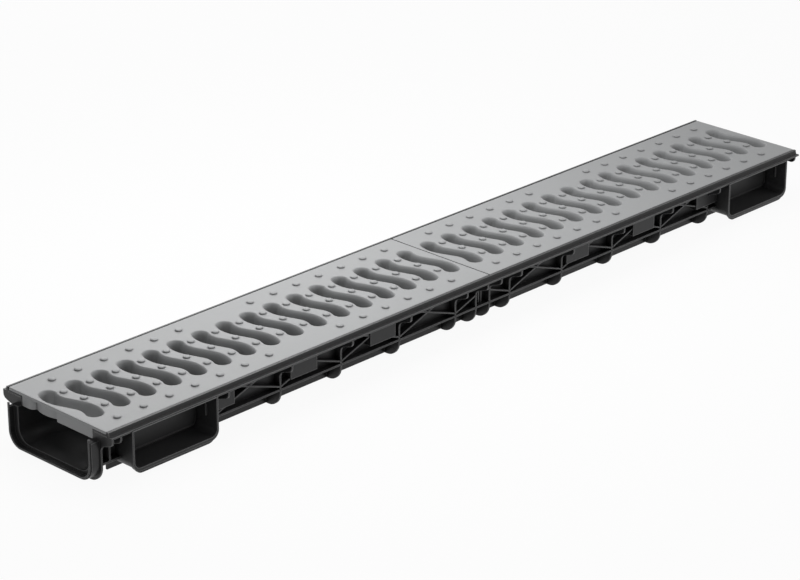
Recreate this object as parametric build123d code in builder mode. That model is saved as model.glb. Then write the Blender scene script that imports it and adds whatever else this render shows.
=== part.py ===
from build123d import *
import math
import os

os.makedirs("parts", exist_ok=True)

# A one metre, shallow moulded drainage channel with two S-slot grates that clip into it.
# X runs along the channel, Y across it, Z up. The origin is the middle of the channel's
# box, on the surface that it lies on.

# Overall sizes
channel_length = 1000.0
channel_height = 54.5
wall = 2.0
rib_thickness = 2.0

# Grate
grate_width = 136.0
grate_plate = 3.5
grate_proud = 1.0
grate_joint_gap = 1.0
grate_depth = 13.8
grate_block_width = 97.6
grate_wall = 2.2
grate_rib = 1.8
grate_edge_chamfer = 0.6
grate_corner_wall = 9.0
grate_corner_radius = 6.0
grate_corner_turn = 70.0

# S-shaped slots in the grate
slot_end_land = 16.0
slot_pitch = 31.07
slot_width = 15.8
slot_waist_length = 17.6
slot_waist_slant = 20.0
slot_bend_radius = 29.0
slot_bend_angle = 45.0
slot_wall = 2.4

# Anti-slip studs on the grate
stud_diameter = 7.0
stud_height = 1.0
stud_sides = 6
stud_taper = 60.0
stud_bar_offset = 23.4
stud_bar_shift = 4.4
stud_edge_inset = 16.5
stud_row_shift = 10.3
stud_row_gap = 62.0

# Seat, rail and flange along each long edge of the channel
seat_clearance = 0.5
ledge_thickness = 2.2
rail_top_width = 2.4
rail_foot_width = 3.4
flange_reach = 7.3
flange_drop = 4.1
flange_thickness = 1.6

# Trough
trough_clearance = 0.5
trough_ground_gap = 6.0
trough_radius = 14.0

# Stiffening outside the trough
hoop_reach = 8.0
hoop_radius = 16.0
hoop_pitch = 80.0
hoops_per_half = 5
hoop_first_offset = 40.0
hoop_centre_offset = 10.0
hoop_head_depth = 7.3
hoop_head_slope = 5.5
hoop_head_fillet = 7.0
hoop_head_corner = 5.0
end_gusset_offset = 10.5
shelf_height = 17.8
foot_spacing = 78.0
brace_thickness = 1.5
brace_foot_rise = 2.2
centre_web_spacing = 3.5
centre_web_reach = 3.8

# Socket at the left end
socket_length = 10.8
socket_depth = 5.8
socket_wall = 2.9
socket_side_gap = 5.6
socket_top_drop = 13.0
socket_radius = 16.5
socket_lip_length = 1.4
socket_lip_step = 1.0
socket_lip_rise = 4.0

# Plain right end that enters the socket of the next channel
spigot_clearance = 0.3
spigot_ring_setback = 1.5
spigot_ring_pitch = 5.0
end_tab_setback = 7.0
end_tab_width = 17.0
end_tab_radius = 5.0

# Rectangular side ports, one near each end on both sides
port_offset = 22.5
port_width = 103.0
port_reach = 25.5
port_ground_gap = 9.5
port_radius = 9.0
port_lip_drop = 1.3
port_lip_length = 1.5
port_bead_drop = 4.0
port_bead_length = 2.0
port_bead_inset = 2.5
port_draft = 3.4
port_panel_depth = 2.4
port_key_size = 1.2
port_key_length = 12.0
port_key_inset = 12.3
port_key_drop = 8.3

# Clip pockets under the seat and the clips of the grate
clip_spacing = 106.5
pocket_width = 34.5
pocket_reach = 9.1
pocket_height = 25.1
clip_width = 20.0
clip_thickness = 2.0
clip_setback = 2.5
clip_hook = 1.0
clip_hook_height = 3.0
clip_clearance = 0.6
clip_latch_clearance = 0.3

# Depth by which a feature runs into the wall that it grows from
root = 0.8

# Places that follow from the sizes above
x_left = (socket_length - channel_length) / 2
x_right = x_left + channel_length
x_middle = (x_left + x_right) / 2
x_spigot = x_right - socket_length - rib_thickness
grate_top = channel_height + grate_proud
seat_height = grate_top - grate_plate
grate_bottom = grate_top - grate_depth
ledge_bottom = seat_height - ledge_thickness
seat_half = grate_width / 2 + seat_clearance
flange_half = seat_half + flange_reach
flange_top = channel_height - flange_drop
flange_bottom = flange_top - flange_thickness
block_half = grate_block_width / 2
trough_half = block_half + trough_clearance
outer_half = trough_half + wall
floor_top = trough_ground_gap + wall
hoop_half = outer_half + hoop_reach
head_bottom = ledge_bottom - hoop_head_depth
web_top = ledge_bottom + root
brace_low = shelf_height + wall + brace_foot_rise
brace_slope = (ledge_bottom - brace_low) / hoop_pitch
socket_half = trough_half + socket_side_gap
socket_top = grate_top - socket_top_drop
socket_floor = trough_ground_gap - spigot_clearance
port_face = outer_half + port_reach
port_top = flange_bottom + flange_thickness / 2
panel_face = outer_half + port_panel_depth
panel_inset = wall + port_draft
panel_radius = port_radius - wall
key_reach = port_key_size + port_draft * port_key_inset / (port_face - panel_face)
port_starts = (x_left + port_offset, x_right - port_offset - port_width)
grate_length = (channel_length - grate_joint_gap) / 2
window_width = clip_width + 2 * clip_clearance
window_inner = trough_half + clip_setback
window_outer = window_inner + clip_thickness + clip_hook + clip_clearance
clip_inner = window_inner + clip_clearance / 2
clip_tip = ledge_bottom - clip_latch_clearance - clip_hook_height

hoop_offsets = [hoop_first_offset + hoop_pitch * step for step in range(hoops_per_half)]
hoop_places = [
    x_middle + side * offset for side in (-1, 1) for offset in (hoop_centre_offset, *hoop_offsets)
]
hoop_places += [x_left + rib_thickness / 2]
end_wall = grate_length / 2 - grate_wall / 2
slot_count = int((grate_length - 2 * slot_end_land) / slot_pitch) + 1
clip_places = [step * clip_spacing for step in (-1, 0, 1)]
grate_centres = (x_left + grate_length / 2, x_right - grate_length / 2)
pocket_places = [centre + place for centre in grate_centres for place in clip_places]
slot_places = [(step - (slot_count - 1) / 2) * slot_pitch for step in range(slot_count)]
bar_places = [place + slot_pitch / 2 for place in slot_places[:-1]]

# Middle line of one half of an S-shaped slot, from the slot's centre to its end
slot_waist = PolarLine((0, 0), slot_waist_length / 2, 90 + slot_waist_slant)
slot_bend = JernArc(slot_waist @ 1, slot_waist % 1, slot_bend_radius, -slot_bend_angle)


def u_section(half_width, bottom, top, radius):
    """Block section across the channel with rounded lower corners."""
    with BuildSketch(mode=Mode.PRIVATE) as section:
        with Locations((0, (bottom + top) / 2)):
            Rectangle(2 * half_width, top - bottom)
        fillet(section.vertices().group_by(Axis.Y)[0], radius)
    return section.sketch


def port_section(start, inset, bottom, top, radius):
    """Outline of a side port seen from its side, with rounded lower corners."""
    with BuildSketch(mode=Mode.PRIVATE) as section:
        with Locations((start + port_width / 2, (bottom + top) / 2)):
            Rectangle(port_width - 2 * inset, top - bottom)
        fillet(section.vertices().group_by(Axis.Y)[0], radius)
    return section.sketch


def rail_section():
    """Seat ledge, raised rail and flange of one long edge."""
    with BuildSketch(mode=Mode.PRIVATE) as section:
        with BuildLine():
            Polyline(
                (trough_half, seat_height),
                (seat_half, seat_height),
                (seat_half, channel_height),
                (seat_half + rail_top_width, channel_height),
                (seat_half + rail_foot_width, flange_top),
                (flange_half, flange_top),
                (flange_half, flange_bottom),
                (seat_half, flange_bottom),
                (seat_half, ledge_bottom),
                (trough_half, ledge_bottom),
                close=True,
            )
        make_face()
    return section.sketch


def hoop_section():
    """One transverse rib: a U round the trough with a gusset head under each flange."""
    with BuildSketch(mode=Mode.PRIVATE) as section:
        with BuildLine():
            Polyline(
                (0, 0),
                (hoop_half, 0),
                (hoop_half, head_bottom - hoop_head_slope),
                (flange_half, head_bottom),
                (flange_half, port_top),
                (0, port_top),
                close=True,
            )
        make_face()
        fillet(section.vertices().sort_by_distance((hoop_half, 0))[0], hoop_radius)
        inner = (hoop_half, head_bottom - hoop_head_slope)
        fillet(section.vertices().sort_by_distance(inner)[0], hoop_head_fillet)
        fillet(section.vertices().sort_by_distance((flange_half, head_bottom))[0], hoop_head_corner)
        mirror(about=Plane.YZ)
    return section.sketch


def brace_section(start, end):
    """Thin strut between two points of the channel's side."""
    run = end[0] - start[0]
    rise = end[1] - start[1]
    middle = ((start[0] + end[0]) / 2, (start[1] + end[1]) / 2)
    with BuildSketch(mode=Mode.PRIVATE) as section:
        with Locations(Location(middle, math.degrees(math.atan2(rise, run)))):
            Rectangle(math.hypot(run, rise), brace_thickness)
    return section.sketch


def slot_section(margin):
    """S-shaped slot opening, widened all round by a margin."""
    with BuildSketch(mode=Mode.PRIVATE) as section:
        with BuildLine():
            add([slot_waist, slot_bend])
            add([slot_waist, slot_bend], rotation=180)
            offset(amount=slot_width / 2 + margin, side=Side.BOTH)
        make_face()
    return section.sketch


def rim_section():
    """Straight-sided wall round one slot, for the slots whose walls stay hidden."""
    reach = slot_width / 2 + slot_wall
    knee = slot_bend @ 0.4
    tip = slot_bend @ 1 + (slot_bend % 1) * reach
    with BuildSketch(mode=Mode.PRIVATE) as section:
        with BuildLine():
            Polyline(tip, knee, -knee, -tip)
        trace(line_width=2 * reach)
    return section.sketch


def corner_section():
    """Curled end wall of the grate, from its side wall round to the rim of the end slot."""
    with BuildSketch(mode=Mode.PRIVATE) as section:
        with BuildLine():
            flat = Line((-end_wall, block_half), (-end_wall, block_half - grate_corner_wall))
            JernArc(flat @ 1, flat % 1, grate_corner_radius, grate_corner_turn)
        trace(line_width=grate_wall)
    return section.sketch


# Braces, centre webs, clip pockets and side ports of the side that faces -Y
with BuildPart() as side:
    with BuildSketch(Plane.XZ.offset(hoop_half)):
        for half in (-1, 1):
            for near, far in zip(hoop_offsets, hoop_offsets[1:]):
                inner = x_middle + half * near
                outer = x_middle + half * far
                add(brace_section((inner, brace_low), (outer, ledge_bottom)))
                add(brace_section((outer, brace_low), (inner, ledge_bottom)))
            foot = x_middle + half * hoop_first_offset
            head = x_middle + half * hoop_centre_offset
            rise = brace_slope * (hoop_first_offset - hoop_centre_offset)
            add(brace_section((foot, brace_low), (head, brace_low + rise)))
    extrude(amount=-hoop_reach - root)

    with BuildSketch(Plane.XZ.offset(outer_half + centre_web_reach)):
        with Locations((x_middle, (shelf_height + web_top) / 2)):
            with GridLocations(centre_web_spacing, 0, 2, 1):
                Rectangle(brace_thickness, web_top - shelf_height)
    extrude(amount=-centre_web_reach - root)

    with BuildSketch(Plane.XZ.offset(outer_half + pocket_reach)):
        with Locations(*[(place, web_top - pocket_height / 2) for place in pocket_places]):
            Rectangle(pocket_width, pocket_height)
    extrude(amount=-pocket_reach - root)

    with BuildSketch(Plane.XZ.offset(port_face)):
        for start in port_starts:
            add(port_section(start, 0, port_ground_gap, port_top, port_radius))
    extrude(amount=-port_reach - root)
    with BuildSketch(Plane.XZ.offset(port_face)):
        for start in port_starts:
            add(port_section(start, 0, port_ground_gap - port_lip_drop, port_top, port_radius))
    extrude(amount=-port_lip_length - port_bead_length)
    with BuildSketch(Plane.XZ.offset(port_face - port_lip_length)):
        for start in port_starts:
            add(port_section(start, port_bead_inset, port_ground_gap - port_bead_drop, port_top,
                             port_radius))
    extrude(amount=-port_bead_length)

# Hollows of the same side: clip pockets, port ducts and the windows for the clips
with BuildPart() as hollows:
    with BuildSketch(Plane.XZ.offset(outer_half + pocket_reach - wall)):
        with Locations(*[(place, ledge_bottom - pocket_height / 2) for place in pocket_places]):
            Rectangle(pocket_width - 2 * wall, pocket_height)
    extrude(amount=-pocket_reach + wall)

    with BuildSketch(Plane.XY.offset(ledge_bottom - root)):
        for place in pocket_places:
            with Locations((place, -(window_inner + window_outer) / 2)):
                Rectangle(window_width, window_outer - window_inner)
    extrude(amount=ledge_thickness + 2 * root)

    # Each port duct narrows inwards, and ends in a recess round its knock-out panel
    for start in port_starts:
        with BuildSketch(Plane.XZ.offset(port_face)):
            add(port_section(start, wall, port_ground_gap + wall, flange_bottom, panel_radius))
        with BuildSketch(Plane.XZ.offset(panel_face)):
            add(port_section(start, panel_inset, port_ground_gap + panel_inset, flange_bottom,
                             panel_radius))
        loft()
        with BuildSketch(Plane.XZ.offset(panel_face)):
            add(port_section(start, panel_inset, port_ground_gap + panel_inset, flange_bottom,
                             panel_radius))
        extrude(amount=-port_panel_depth)

# Small vertical key on the inner end wall of each port duct
with BuildPart() as keys:
    with BuildSketch(Plane.XY.offset(flange_bottom - port_key_drop)):
        for start in port_starts:
            with Locations((start + port_width - wall - (key_reach - root) / 2,
                            -port_face + port_key_inset)):
                Rectangle(key_reach + root, port_key_size)
    extrude(amount=-port_key_length)

# The channel: one moulding
with BuildPart() as channel_body:
    # Trough with the rails along its whole length
    with BuildSketch(Plane.YZ.offset(x_left)):
        add(u_section(outer_half, trough_ground_gap, seat_height, trough_radius + wall))
        add(rail_section())
        mirror(rail_section(), about=Plane.YZ)
    extrude(amount=channel_length)

    # Shelf along each side, up to the plain end, and the two feet from the first port on
    with BuildSketch(Plane.YZ.offset(x_spigot)):
        with Locations((0, shelf_height + wall / 2)):
            Rectangle(2 * hoop_half, wall)
    extrude(amount=x_left - x_spigot)
    with BuildSketch(Plane.YZ.offset(x_spigot)):
        with Locations((0, (trough_ground_gap + root) / 2)):
            with GridLocations(foot_spacing, 0, 2, 1):
                Rectangle(wall, trough_ground_gap + root)
    extrude(amount=port_starts[0] - x_spigot)

    # Transverse ribs
    with BuildSketch(*[Plane.YZ.offset(place - rib_thickness / 2) for place in hoop_places]):
        add(hoop_section())
    extrude(amount=rib_thickness)

    # Gusset beside the socket, which ends at the shelf
    with BuildSketch(Plane.YZ.offset(x_left + end_gusset_offset - rib_thickness / 2)):
        add(hoop_section())
        with Locations((0, shelf_height / 2)):
            Rectangle(2 * hoop_half, shelf_height, mode=Mode.SUBTRACT)
    extrude(amount=rib_thickness)

    # Socket that takes the plain end of the next channel
    with BuildSketch(Plane.YZ.offset(x_left)):
        add(u_section(socket_half + socket_wall, socket_floor - socket_wall, socket_top,
                      socket_radius))
    extrude(amount=socket_lip_length - socket_length)
    with BuildSketch(Plane.YZ.offset(x_left - socket_length)):
        add(u_section(socket_half + socket_wall - socket_lip_step,
                      socket_floor - socket_wall + socket_lip_step, socket_top + socket_lip_rise,
                      socket_radius - socket_lip_step))
    extrude(amount=socket_lip_length)

    # Rings round the plain end
    ring_start = x_right - spigot_ring_setback
    ring_places = (ring_start, ring_start - spigot_ring_pitch)
    with BuildSketch(*[Plane.YZ.offset(place) for place in ring_places]):
        add(u_section(socket_half - spigot_clearance, trough_ground_gap, web_top,
                      socket_radius - socket_wall))
    extrude(amount=-rib_thickness / 2)

    # Rounded tabs under the flanges near the plain end
    with BuildSketch(Plane.YZ.offset(x_right - end_tab_setback - rib_thickness / 2)):
        with Locations((0, (head_bottom + port_top) / 2)):
            with GridLocations(2 * flange_half - end_tab_width, 0, 2, 1):
                Rectangle(end_tab_width, port_top - head_bottom)
        fillet(vertices().group_by(Axis.Y)[0], end_tab_radius)
    extrude(amount=rib_thickness)

    # Features of both sides
    add(side.part)
    mirror(side.part, about=Plane.XZ)
    add(hollows.part, mode=Mode.SUBTRACT)
    mirror(hollows.part, about=Plane.XZ, mode=Mode.SUBTRACT)
    add(keys.part)
    mirror(keys.part, about=Plane.XZ)

    # Inside of the trough and of the socket
    with BuildSketch(Plane.YZ.offset(x_left - socket_length)):
        add(u_section(trough_half, floor_top, grate_top, trough_radius))
    extrude(amount=socket_length + channel_length, mode=Mode.SUBTRACT)
    with BuildSketch(Plane.YZ.offset(x_left - socket_length)):
        add(u_section(socket_half, socket_floor, grate_top, socket_radius - socket_wall))
    extrude(amount=socket_depth, mode=Mode.SUBTRACT)

channel_body.part.label = "channel_body"
export_step(channel_body.part, "parts/channel_body.step")

# One grate, centred on X = 0. Half a turn about Z maps it onto itself.
stud_row = [
    place + stud_row_shift for place in slot_places[:-1] if abs(place) > stud_row_gap / 2
]
edge_row = grate_width / 2 - stud_edge_inset
stud_places = [(place - stud_bar_shift, stud_bar_offset) for place in bar_places]
stud_places += [(place, 0) for place in bar_places]
stud_places += [(place + stud_bar_shift, -stud_bar_offset) for place in bar_places]
stud_places += [(place, -edge_row) for place in stud_row]
stud_places += [(-place, edge_row) for place in stud_row]

# Clip of the +Y side: it passes through a window of the seat and hooks under it
with BuildPart() as clip:
    with BuildSketch(Plane.YZ.offset(-clip_width / 2)):
        with BuildLine():
            Polyline(
                (clip_inner, seat_height + root),
                (clip_inner, clip_tip),
                (clip_inner + clip_thickness, clip_tip),
                (clip_inner + clip_thickness + clip_hook, clip_tip + clip_hook_height),
                (clip_inner + clip_thickness, clip_tip + clip_hook_height),
                (clip_inner + clip_thickness, seat_height + root),
                close=True,
            )
        make_face()
    extrude(amount=clip_width)

with BuildPart() as grate:
    # Walls under the plate: both sides, the parts of each end, the ribs and the slot rims
    with BuildSketch(Plane.XY.offset(grate_bottom)):
        with GridLocations(0, grate_block_width - grate_wall, 1, 2):
            Rectangle(grate_length, grate_wall)
        with Locations((-end_wall, -block_half / 2), (end_wall, block_half / 2)):
            Rectangle(grate_wall, block_half)
        add(corner_section())
        add(corner_section(), rotation=180)
        with Locations(*[(place, 0) for place in bar_places]):
            Rectangle(grate_rib, grate_block_width - grate_wall)
        for place in slot_places[1:-1]:
            with Locations((place, 0)):
                add(rim_section())
        for place in (slot_places[0], slot_places[-1]):
            with Locations((place, 0)):
                add(slot_section(slot_wall))
    extrude(amount=grate_depth - grate_plate + root)

    # Plate
    with BuildSketch(Plane.XY.offset(seat_height)):
        Rectangle(grate_length, grate_width)
    extrude(amount=grate_plate)
    chamfer(faces().sort_by(Axis.Z)[-1].edges(), grate_edge_chamfer)

    # Slots
    with BuildSketch(Plane.XY.offset(grate_bottom)):
        for place in slot_places:
            with Locations((place, 0)):
                add(slot_section(0))
    extrude(amount=grate_depth, mode=Mode.SUBTRACT)

    # Clips of both sides
    with Locations(*[(place, 0) for place in clip_places]):
        add(clip.part)
        add(clip.part, rotation=(0, 0, 180))

    # Studs, low faceted domes
    with BuildSketch(Plane.XY.offset(grate_top)):
        with Locations(*stud_places):
            RegularPolygon(stud_diameter / 2, stud_sides)
    extrude(amount=stud_height, taper=stud_taper)

# The two grates lie end to end
with BuildPart() as grate_left:
    with Locations((grate_centres[0], 0)):
        add(grate.part)

with BuildPart() as grate_right:
    with Locations((grate_centres[1], 0)):
        add(grate.part)

grate_left.part.label = "grate_left"
grate_right.part.label = "grate_right"
export_step(grate_left.part, "parts/grate_left.step")
export_step(grate_right.part, "parts/grate_right.step")
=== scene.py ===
from math import cos, pi, radians, sin

import bmesh
import bpy
from mathutils import Matrix, Vector
from mathutils.geometry import delaunay_2d_cdt


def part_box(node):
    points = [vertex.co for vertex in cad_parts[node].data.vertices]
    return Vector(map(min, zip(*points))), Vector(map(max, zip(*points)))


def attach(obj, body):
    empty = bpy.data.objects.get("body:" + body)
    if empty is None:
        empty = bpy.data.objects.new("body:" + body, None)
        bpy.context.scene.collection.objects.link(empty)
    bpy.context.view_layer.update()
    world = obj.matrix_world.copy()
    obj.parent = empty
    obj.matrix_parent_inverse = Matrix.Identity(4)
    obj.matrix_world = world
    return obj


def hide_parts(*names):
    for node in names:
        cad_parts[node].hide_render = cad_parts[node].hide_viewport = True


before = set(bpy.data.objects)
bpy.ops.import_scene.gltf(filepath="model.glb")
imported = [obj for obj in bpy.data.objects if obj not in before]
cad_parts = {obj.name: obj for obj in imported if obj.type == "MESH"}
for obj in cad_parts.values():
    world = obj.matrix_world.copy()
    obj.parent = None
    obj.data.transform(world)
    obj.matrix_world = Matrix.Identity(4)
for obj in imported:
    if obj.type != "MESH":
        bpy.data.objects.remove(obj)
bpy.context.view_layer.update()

# Channel body
# One black polypropylene injection moulding. Its walls and ribs come straight off a
# finely sparked tool, so the faces are satin with a very fine grain.

CHANNEL_BLACK = (0.021, 0.021, 0.0216, 1.0)
CHANNEL_WORN = (0.030, 0.030, 0.0307, 1.0)
# Painted highlight colour for convex edges
CHANNEL_EDGE_HIGHLIGHT = (0.145, 0.145, 0.147, 1.0)
# Painted shade colour for inner corners
CHANNEL_CORNER_SHADE = (0.004, 0.004, 0.0042, 1.0)

channel_roughness = 0.38
channel_gloss = 0.28
channel_grain_scale = 1400.0
channel_grain_depth = 0.00002
channel_edge_width = 0.0009
channel_corner_shade_reach = 0.006
roughness_spread = 0.10
grain_detail = 2.0
grain_roughness = 0.6
grain_strength = 0.5
grains_per_speck = 6
flow_scale = 9.0
flow_detail = 3.0
flow_share = 0.6
edge_highlight_contrast = 3.0
edge_samples = 4
corner_shade_contrast = 2.0
corner_samples = 4
# Strip next to the grates where the channel's edges get no painted highlight
rail_highlight_free_width = 0.0019
rail_highlight_free_depth = 0.004


class Shade:
    """A socket of the material being made. Arithmetic on it adds Math nodes."""

    def __init__(self, tree, socket=None):
        self.tree = tree
        self.socket = socket

    def node(self, kind, settings=None, inputs=None, output=0):
        """Any node: its settings are set first, then the values or links of its sockets."""
        made = self.tree.nodes.new(kind)
        for name, value in (settings or {}).items():
            setattr(made, name, value)
        for name, value in (inputs or {}).items():
            if isinstance(value, Shade):
                value.feed(made.inputs[name])
            else:
                made.inputs[name].default_value = value
        return Shade(self.tree, made.outputs[output])

    def feed(self, target):
        """Link from this socket to an input of an existing node."""
        self.tree.links.new(self.socket, target)

    def mix(self, none, full):
        """Colour between two others, by the share that this socket gives."""
        return self.node("ShaderNodeMix", {"data_type": "RGBA"}, {0: self, 6: none, 7: full},
                         output=2)

    def math(self, operation, first, second):
        return self.node("ShaderNodeMath", {"operation": operation}, {0: first, 1: second})

    def __add__(self, other):
        return self.math("ADD", self, other)

    def __sub__(self, other):
        return self.math("SUBTRACT", self, other)

    def __rsub__(self, other):
        return self.math("SUBTRACT", other, self)

    def __mul__(self, other):
        return self.math("MULTIPLY", self, other)

    def __lt__(self, other):
        return self.math("LESS_THAN", self, other)

    def __gt__(self, other):
        return self.math("GREATER_THAN", self, other)

    def __abs__(self):
        return self.node("ShaderNodeMath", {"operation": "ABSOLUTE"}, {0: self})

    __radd__ = __add__
    __rmul__ = __mul__


def new_material(name):
    """Material with a plain principled surface, its tree and that surface."""
    material = bpy.data.materials.new(name)
    material.use_nodes = True
    tree = material.node_tree
    return material, Shade(tree), tree.nodes["Principled BSDF"]


def moulded_plastic(name, colours, roughness, gloss, grain_scale, grain_depth, edge, corner,
                    highlight_free_strip=None):
    """Satin plastic with painted highlight on convex edges and painted shade in inner corners.
    A strip, given by half its width and the height above which it lies, keeps its edges
    free of the painted highlight."""
    dark, light, edge_highlight, corner_shade = colours
    material, shade, surface = new_material(name)
    place = shade.node("ShaderNodeTexCoord", output="Object")

    # Faint cloudy flow marks with specks among them
    flow = shade.node(
        "ShaderNodeTexNoise",
        inputs={"Vector": place, "Scale": flow_scale, "Detail": flow_detail},
    )
    speck = shade.node(
        "ShaderNodeTexNoise",
        inputs={"Vector": place, "Scale": grain_scale / grains_per_speck},
    )
    body = (flow * flow_share + speck * (1 - flow_share)).mix(dark, light)

    # Painted highlight: edges made pale where the material inside is thin
    solid = shade.node(
        "ShaderNodeAmbientOcclusion",
        {"samples": edge_samples, "inside": True},
        {"Distance": edge},
        output="AO",
    )
    edge_highlight_mask = (1 - solid) * edge_highlight_contrast
    # Within the strip along the rails the edges get no painted highlight
    if highlight_free_strip:
        half_width, height = highlight_free_strip
        across = shade.node("ShaderNodeSeparateXYZ", inputs={0: place}, output="Y")
        up = shade.node("ShaderNodeSeparateXYZ", inputs={0: place}, output="Z")
        edge_highlight_mask = edge_highlight_mask * (1 - (abs(across) < half_width) * (up > height))
    highlighted = edge_highlight_mask.mix(body, edge_highlight)

    # Painted shade in inner corners
    clear = shade.node(
        "ShaderNodeAmbientOcclusion",
        {"samples": corner_samples},
        {"Distance": corner},
        output="AO",
    )
    colour = ((1 - clear) * corner_shade_contrast).mix(highlighted, corner_shade)

    # Spark grain over softened edges
    grain = shade.node(
        "ShaderNodeTexNoise",
        inputs={"Vector": place, "Scale": grain_scale, "Detail": grain_detail,
                "Roughness": grain_roughness},
    )
    softened = shade.node("ShaderNodeBevel", {"samples": edge_samples}, {"Radius": edge})
    bump = shade.node(
        "ShaderNodeBump",
        inputs={"Height": grain, "Distance": grain_depth, "Strength": grain_strength,
                "Normal": softened},
    )

    colour.feed(surface.inputs["Base Color"])
    ((flow - 0.5) * roughness_spread + roughness).feed(surface.inputs["Roughness"])
    bump.feed(surface.inputs["Normal"])
    surface.inputs["Specular IOR Level"].default_value = gloss
    return material


channel_plastic = moulded_plastic(
    "channel_plastic",
    colours=(CHANNEL_BLACK, CHANNEL_WORN, CHANNEL_EDGE_HIGHLIGHT, CHANNEL_CORNER_SHADE),
    roughness=channel_roughness,
    gloss=channel_gloss,
    grain_scale=channel_grain_scale,
    grain_depth=channel_grain_depth,
    edge=channel_edge_width,
    corner=channel_corner_shade_reach,
    highlight_free_strip=(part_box("grate_left")[1][1] + rail_highlight_free_width,
               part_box("channel_body")[1][2] - rail_highlight_free_depth),
)
for material_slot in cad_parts["channel_body"].material_slots:
    material_slot.material = channel_plastic

# Grates
# Two like mouldings in grey plastic, each half a metre long, that clip into the channel. The
# tool gives every slot a rolled upper edge, and the plate low round studs against slipping.

GRATE_DARK = (0.300, 0.304, 0.308, 1.0)
GRATE_LIGHT = (0.345, 0.350, 0.354, 1.0)
# Painted highlight colour for convex edges
GRATE_EDGE_HIGHLIGHT = (0.46, 0.465, 0.47, 1.0)
# Painted shade colour for inner corners
GRATE_CORNER_SHADE = (0.06, 0.061, 0.062, 1.0)

grate_roughness = 0.50
grate_gloss = 0.5
grate_grain_scale = 1500.0
grate_grain_depth = 0.00003
grate_edge_width = 0.0003
grate_corner_shade_reach = 0.002

# The mesh is drawn in millimetres about the grate's own middle, its top flush with the rails
MM = 0.001
grate_low, grate_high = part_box("grate_left")
grate_half_x = (grate_high[0] - grate_low[0]) / 2 / MM
grate_half_y = (grate_high[1] - grate_low[1]) / 2 / MM
grate_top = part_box("channel_body")[1][2] / MM
grate_bottom = grate_low[2] / MM
smooth_angle = radians(35)
face_weight = 100

plate_thickness = 2.5
plate_corner = 1.5
plate_edge = 0.7
plate_bottom = grate_top - plate_thickness

slot_count = 16
slot_pitch = 31.07
slot_width = 13.8
slot_edge = 2.5
slot_roll = 6.0
slot_draft = 0.5
slot_wall = 3.4
slot_waist = 8.8
slot_slant = radians(20)
slot_bend_radius = 29.0
slot_bend_angle = radians(45)
slot_xs = [(step - (slot_count - 1) / 2) * slot_pitch for step in range(slot_count)]

stud_height = 1.8
stud_radius = 3.5
stud_root = 0.3
stud_bar_offset = 23.4
stud_bar_shift = 4.4
stud_edge_inset = 16.5
stud_row_shift = 10.3
stud_row_gap = 62.0

# Steps up a stud: how far outside its radius, and the share of its height
stud_profile = [(0.1, 0.03), (0.0, 0.12), (0.0, 0.45), (-0.15, 0.65), (-0.5, 0.82),
                (-1.1, 0.93), (-2.0, 0.99)]

block_half = 48.8
wall_thickness = 2.2
rib_thickness = 1.8
rib_inset = 0.5
rib_xs = [x + slot_pitch / 2 for x in slot_xs[:-1]]
end_inset = 0.3
corner_wall = 9.0
corner_radius = 6.0
corner_turn = radians(70)

clip_spacing = 106.5
clip_width = 20.0
clip_inner = 52.1
clip_outer = 54.1
clip_hook = 55.1
clip_tip = 46.5
clip_hook_height = 3.0
clip_root = 0.3

outline_merge = 1e-5


def slot_outline(margin, bend_steps=9, cap_steps=16):
    """Points round one S-shaped slot, counter-clockwise, widened by a margin."""
    half = slot_width / 2 + margin
    start = Vector((-sin(slot_slant), cos(slot_slant))) * slot_waist
    heading = pi / 2 + slot_slant
    centre = start + Vector((sin(heading), -cos(heading))) * slot_bend_radius
    middle = [(Vector((0.0, 0.0)), heading)]
    for step in range(bend_steps + 1):
        turn = heading - slot_bend_angle * step / bend_steps
        middle.append((centre + Vector((-sin(turn), cos(turn))) * slot_bend_radius, turn))
    right = [point + Vector((sin(turn), -cos(turn))) * half for point, turn in middle]
    left = [point - Vector((sin(turn), -cos(turn))) * half for point, turn in middle]
    tip, turn = middle[-1]
    cap = []
    for step in range(1, cap_steps):
        angle = turn - pi / 2 + pi * step / cap_steps
        cap.append(tip + Vector((cos(angle), sin(angle))) * half)
    upper = right[1:] + cap + left[:0:-1]
    return upper + [-point for point in upper]


def slots(margin):
    """Outline of every slot, widened by a margin."""
    outline = slot_outline(margin)
    return [[point + Vector((x, 0)) for point in outline] for x in slot_xs]


def rounded_rectangle(inset, steps=5):
    """Points round the plate's outline, counter-clockwise, drawn in by an inset."""
    radius = plate_corner - inset
    points = []
    for quarter, (side_x, side_y) in enumerate(((1, 1), (-1, 1), (-1, -1), (1, -1))):
        corner = Vector((side_x * (grate_half_x - plate_corner),
                         side_y * (grate_half_y - plate_corner)))
        for step in range(steps + 1):
            angle = pi / 2 * (quarter + step / steps)
            points.append(corner + Vector((cos(angle), sin(angle))) * radius)
    return points


def rectangle(x, y, size_x, size_y):
    """Corners of a plain rectangle about a point, counter-clockwise."""
    return [
        Vector((x + side_x * size_x / 2, y + side_y * size_y / 2))
        for side_x, side_y in ((-1, -1), (1, -1), (1, 1), (-1, 1))
    ]


def circle(x, y, radius, steps=28):
    """Points round a circle, counter-clockwise."""
    turns = [2 * pi * step / steps for step in range(steps)]
    return [Vector((x + radius * cos(turn), y + radius * sin(turn))) for turn in turns]


def corner_outline(end_x, steps=6):
    """Points round the curled end wall at the far left corner, counter-clockwise."""
    turns = [corner_turn * step / steps for step in range(steps + 1)]
    centre = Vector((-end_x + corner_radius, block_half - corner_wall))

    def arc(radius):
        return [centre - Vector((cos(turn), sin(turn))) * radius for turn in turns]

    outer = arc(corner_radius + wall_thickness / 2)
    inner = arc(corner_radius - wall_thickness / 2)
    tops = [Vector((point.x, block_half)) for point in (outer[0], inner[0])]
    return [tops[0]] + outer + inner[::-1] + [tops[1]]


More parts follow.
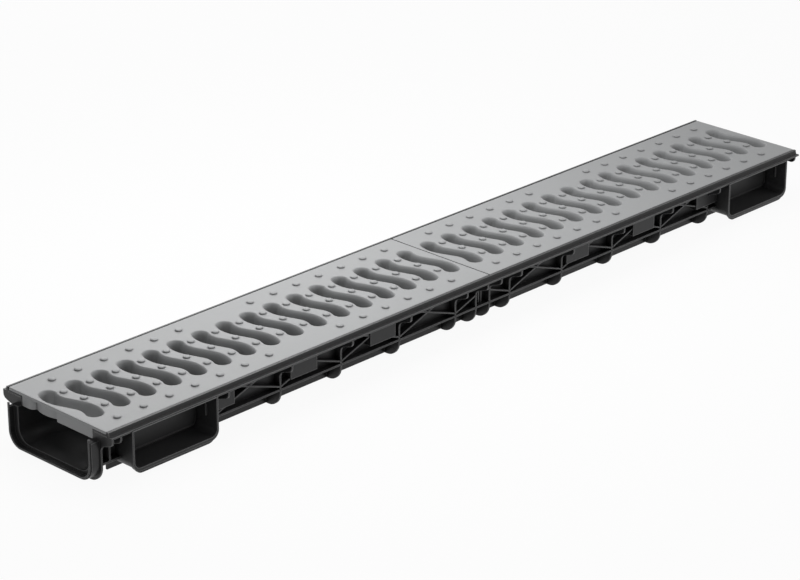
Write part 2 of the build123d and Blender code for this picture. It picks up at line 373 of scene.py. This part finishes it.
def stud_places():
    """Middle of every stud: three over each rib, and a row along both long edges."""
    row_y = grate_half_y - stud_edge_inset
    row_xs = [x + stud_row_shift for x in slot_xs[:-1] if abs(x) > stud_row_gap / 2]
    places = [(x - stud_bar_shift, stud_bar_offset) for x in rib_xs]
    places += [(x, 0) for x in rib_xs]
    places += [(x + stud_bar_shift, -stud_bar_offset) for x in rib_xs]
    return places + [(x, -row_y) for x in row_xs] + [(-x, row_y) for x in row_xs]


def divide(outlines):
    """Plane triangles of overlapping outlines, each with the outlines that cover it."""
    points = []
    rings = []
    for outline in outlines:
        rings.append(list(range(len(points), len(points) + len(outline))))
        points += outline
    flat, _, faces, sources, _, covers = delaunay_2d_cdt(points, [], rings, 1, outline_merge)
    renamed = {}
    for new, olds in enumerate(sources):
        for old in olds:
            renamed[old] = new
    loops = [[renamed[old] for old in numbers] for numbers in rings]
    return flat, faces, [set(cover) for cover in covers], loops


def ring(mesh, outline, height):
    """Vertices of an outline at a height."""
    return [mesh.verts.new((point.x, point.y, height)) for point in outline]


def skin(mesh, loops):
    """Quads between closed loops of vertices, one after the other."""
    for upper, lower in zip(loops, loops[1:]):
        for step in range(len(upper)):
            after = (step + 1) % len(upper)
            mesh.faces.new((upper[step], lower[step], lower[after], upper[after]))


def round_over(width, depth, steps=6):
    """Offsets (outward, down) along a quarter ellipse, from just off the flat to the wall."""
    turns = [pi / 2 * step / steps for step in range(1, steps + 1)]
    return [(width * (1 - sin(turn)), depth * (1 - cos(turn))) for turn in turns]


def add_upper_face(mesh, studs):
    """Flat top of the plate, with holes for the slots and studs. Gives the rim of each."""
    outlines = [rounded_rectangle(plate_edge)]
    outlines += slots(slot_edge)
    outlines += [circle(x, y, stud_radius + stud_root) for x, y in studs]
    flat, faces, covers, loops = divide(outlines)
    upper = ring(mesh, flat, grate_top)
    for face, cover in zip(faces, covers):
        if cover == {0}:
            mesh.faces.new([upper[index] for index in face])
    rims = [[upper[index] for index in loop] for loop in loops]
    return rims[0], rims[1:1 + slot_count], rims[1 + slot_count:]


def add_stud(mesh, x, y, rim):
    """Steep low dome that grows out of the plate with a small hollow root."""
    rings = [rim]
    for out, rise in stud_profile:
        rings.append(ring(mesh, circle(x, y, stud_radius + out), grate_top + stud_height * rise))
    skin(mesh, [one[::-1] for one in rings])
    last = rings[-1]
    crown = mesh.verts.new((x, y, grate_top + stud_height))
    for start, end in zip(last, last[1:] + last[:1]):
        mesh.faces.new((start, end, crown))


def underside_outlines():
    """Outlines of the plate, the slots, and the walls and ribs under the plate."""
    side_y = block_half - wall_thickness / 2
    end_x = grate_half_x - end_inset - wall_thickness / 2
    length = 2 * (grate_half_x - end_inset)
    corner = corner_outline(end_x)
    outlines = [rounded_rectangle(0)]
    outlines += slots(-slot_draft)
    outlines += slots(slot_wall)
    outlines += [rectangle(x, 0, rib_thickness, 2 * (block_half - rib_inset)) for x in rib_xs]
    outlines += [rectangle(0, side * side_y, length, wall_thickness) for side in (-1, 1)]
    outlines += [
        rectangle(side * end_x, side * block_half / 2, wall_thickness, block_half)
        for side in (-1, 1)
    ]
    return outlines + [corner, [-point for point in corner]]


def add_underside(mesh):
    """Underside of the plate and the walls under it. Gives the rims of plate and slots."""
    flat, faces, covers, loops = divide(underside_outlines())
    openings = set(range(1, 1 + slot_count))
    plate_level = ring(mesh, flat, plate_bottom)
    wall_level = ring(mesh, flat, grate_bottom)
    sides = {}
    for face, cover in zip(faces, covers):
        if cover & openings or 0 not in cover:
            continue
        is_wall = cover != {0}
        level = wall_level if is_wall else plate_level
        mesh.faces.new([level[index] for index in reversed(face)])
        for step in range(len(face)):
            sides[face[step], face[(step + 1) % len(face)]] = is_wall
    for (start, end), is_wall in sides.items():
        if is_wall and sides.get((end, start)) is False:
            mesh.faces.new((plate_level[start], wall_level[start], wall_level[end],
                            plate_level[end]))
    plate_rim = [plate_level[index] for index in loops[0]]
    slot_rims = [[wall_level[index] for index in loop] for loop in loops[1:1 + slot_count]]
    return plate_rim, slot_rims


def add_slot(mesh, x, upper_rim, lower_rim):
    """Rolled upper edge and drafted wall of one slot."""
    rings = [upper_rim]
    for out, down in round_over(slot_edge, slot_roll):
        outline = [point + Vector((x, 0)) for point in slot_outline(out)]
        rings.append(ring(mesh, outline, grate_top - down))
    rings.append(lower_rim)
    skin(mesh, [one[::-1] for one in rings])


def add_plate_edge(mesh, upper_rim, lower_rim):
    """Rolled outer edge of the plate, down to its underside."""
    rings = [upper_rim]
    for inset, down in round_over(plate_edge, plate_edge):
        rings.append(ring(mesh, rounded_rectangle(inset), grate_top - down))
    rings.append(lower_rim)
    skin(mesh, rings)


def add_clip(mesh, x, side):
    """Clip with its hook, under one long edge."""
    root = plate_bottom + clip_root
    catch = clip_tip + clip_hook_height
    profile = [(clip_inner, root), (clip_inner, clip_tip), (clip_outer, clip_tip),
               (clip_hook, catch), (clip_outer, catch), (clip_outer, root)]
    ends = [
        [mesh.verts.new((x + end * clip_width / 2, side * y, z)) for y, z in profile]
        for end in (-1, 1)
    ]
    skin(mesh, ends)
    for end in ends:
        mesh.faces.new(end)


def grate_mesh(name):
    """One grate about its own middle: plate, studs, slots, walls and clips."""
    mesh = bmesh.new()
    studs = stud_places()
    upper_rim, upper_slots, stud_rims = add_upper_face(mesh, studs)
    for (x, y), rim in zip(studs, stud_rims):
        add_stud(mesh, x, y, rim)
    lower_rim, lower_slots = add_underside(mesh)
    for x, upper, lower in zip(slot_xs, upper_slots, lower_slots):
        add_slot(mesh, x, upper, lower)
    add_plate_edge(mesh, upper_rim, lower_rim)
    for x in (-clip_spacing, 0, clip_spacing):
        for side in (-1, 1):
            add_clip(mesh, x, side)

    loose = [vertex for vertex in mesh.verts if not vertex.link_faces]
    bmesh.ops.delete(mesh, geom=loose, context="VERTS")
    bmesh.ops.recalc_face_normals(mesh, faces=mesh.faces)
    bmesh.ops.scale(mesh, vec=(MM, MM, MM), verts=mesh.verts)
    for face in mesh.faces:
        face.smooth = True
    data = bpy.data.meshes.new(name)
    mesh.to_mesh(data)
    mesh.free()
    data.set_sharp_from_angle(angle=smooth_angle)
    return data


grate_plastic = moulded_plastic(
    "grate_plastic",
    colours=(GRATE_DARK, GRATE_LIGHT, GRATE_EDGE_HIGHLIGHT, GRATE_CORNER_SHADE),
    roughness=grate_roughness,
    gloss=grate_gloss,
    grain_scale=grate_grain_scale,
    grain_depth=grate_grain_depth,
    edge=grate_edge_width,
    corner=grate_corner_shade_reach,
)
for node in ("grate_left", "grate_right"):
    low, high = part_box(node)
    data = grate_mesh(node + "_plate")
    data.transform(Matrix.Translation(((low[0] + high[0]) / 2, (low[1] + high[1]) / 2, 0.0)))
    data.materials.append(grate_plastic)
    grate = bpy.data.objects.new(node + "_plate", data)
    bpy.context.scene.collection.objects.link(grate)
    shading = grate.modifiers.new("flat_plate", "WEIGHTED_NORMAL")
    shading.weight = face_weight
    shading.keep_sharp = True
    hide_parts(node)
    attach(grate, "root")

# Floor
# A plain white sheet that the channel stands on. The camera sees it nearly white, and it
# keeps a soft shadow under the channel.

FLOOR_WHITE = (0.86, 0.86, 0.86, 1.0)
floor_size = 30.0
floor_roughness = 0.9
floor_glow = 1.0
floor_seen = 0.94
floor_mirrored = 0.9

floor_data = bpy.data.meshes.new("floor")
floor_corners = [(-1, -1), (1, -1), (1, 1), (-1, 1)]
floor_data.from_pydata(
    [(x * floor_size / 2, y * floor_size / 2, 0.0) for x, y in floor_corners],
    [],
    [(0, 1, 2, 3)],
)
floor = bpy.data.objects.new("floor", floor_data)
bpy.context.scene.collection.objects.link(floor)
floor_material, shade, surface = new_material("floor_white")
surface.inputs["Base Color"].default_value = FLOOR_WHITE
surface.inputs["Roughness"].default_value = floor_roughness
glow = shade.node("ShaderNodeEmission", inputs={"Strength": floor_glow})
seen = shade.node("ShaderNodeLightPath", output="Is Camera Ray")
mirrored = shade.node("ShaderNodeLightPath", output="Is Glossy Ray")
white = shade.node(
    "ShaderNodeMixShader",
    inputs={
        0: seen * floor_seen + mirrored * floor_mirrored,
        1: Shade(shade.tree, surface.outputs[0]),
        2: glow,
    },
)
white.feed(shade.tree.nodes["Material Output"].inputs["Surface"])
floor_data.materials.append(floor_material)

# Light
# A white room and five soft lamps. The top lamp hangs over the middle of the channel, so
# that the grates are brightest there and fade towards both ends.

ROOM_WHITE = (1.0, 1.0, 1.0, 1.0)
room_level = 0.08
room_seen = 1.0
room_mirrored = 0.8
top_power = 3.95
top_size = (0.6, 0.6)
top_place = Vector((-0.05, 0.16, 0.65))
top_target = Vector((-0.05, 0.0, 0.0))
side_power = 57.0
side_size = (2.1, 2.1)
side_place = Vector((3.3, -1.95, 3.15))
fill_power = 7.2
fill_size = (1.6, 1.2)
fill_place = Vector((-2.6, -0.5, 1.2))
front_power = 11.0
front_size = (1.8, 1.0)
front_place = Vector((0.2, -2.7, 0.75))
back_power = 9.3
back_size = (1.4, 0.8)
back_place = Vector((0.75, 1.70, 0.92))
channel_middle = Vector((0.0, 0.0, 0.03))

world = bpy.data.worlds.new("room")
world.use_nodes = True
bpy.context.scene.world = world
room = Shade(world.node_tree)
room_light = world.node_tree.nodes["Background"]
room_light.inputs["Color"].default_value = ROOM_WHITE
room_light.inputs["Strength"].default_value = room_level
room_view = room.node("ShaderNodeBackground",
                      inputs={"Color": ROOM_WHITE, "Strength": room_seen})
seen = room.node("ShaderNodeLightPath", output="Is Camera Ray")
mirrored = room.node("ShaderNodeLightPath", output="Is Glossy Ray")
both = room.node(
    "ShaderNodeMixShader",
    inputs={
        0: seen + mirrored * room_mirrored,
        1: Shade(world.node_tree, room_light.outputs[0]),
        2: room_view,
    },
)
both.feed(world.node_tree.nodes["World Output"].inputs["Surface"])


def soft_lamp(name, power, size, place, target):
    """Rectangular area lamp that faces a point."""
    lamp_data = bpy.data.lights.new(name, "AREA")
    lamp_data.shape = "RECTANGLE"
    lamp_data.size, lamp_data.size_y = size
    lamp_data.energy = power
    lamp = bpy.data.objects.new(name, lamp_data)
    lamp.location = place
    lamp.rotation_euler = (target - place).to_track_quat("-Z", "Y").to_euler()
    bpy.context.scene.collection.objects.link(lamp)


soft_lamp("top_lamp", top_power, top_size, top_place, top_target)
soft_lamp("side_lamp", side_power, side_size, side_place, channel_middle)
soft_lamp("fill_lamp", fill_power, fill_size, fill_place, channel_middle)
soft_lamp("front_lamp", front_power, front_size, front_place, channel_middle)
soft_lamp("back_lamp", back_power, back_size, back_place, channel_middle)

# Camera
# The view of the photograph: from the left end and the near side, looking slightly down
# through a long lens.

camera_place = Vector((-1.95512, -1.83741, 1.15783))
camera_heading = 43.999
camera_dip = 22.997
camera_lens = 129.54
camera_sensor = 36.0
camera_reach = 100.0

camera_data = bpy.data.cameras.new("camera")
camera_data.lens = camera_lens
camera_data.sensor_width = camera_sensor
camera_data.clip_end = camera_reach
camera = bpy.data.objects.new("camera", camera_data)
camera.location = camera_place
camera.rotation_euler = (radians(90 - camera_dip), 0.0, radians(camera_heading - 90))
bpy.context.scene.collection.objects.link(camera)
bpy.context.scene.camera = camera
bpy.context.scene.view_settings.view_transform = "Standard"
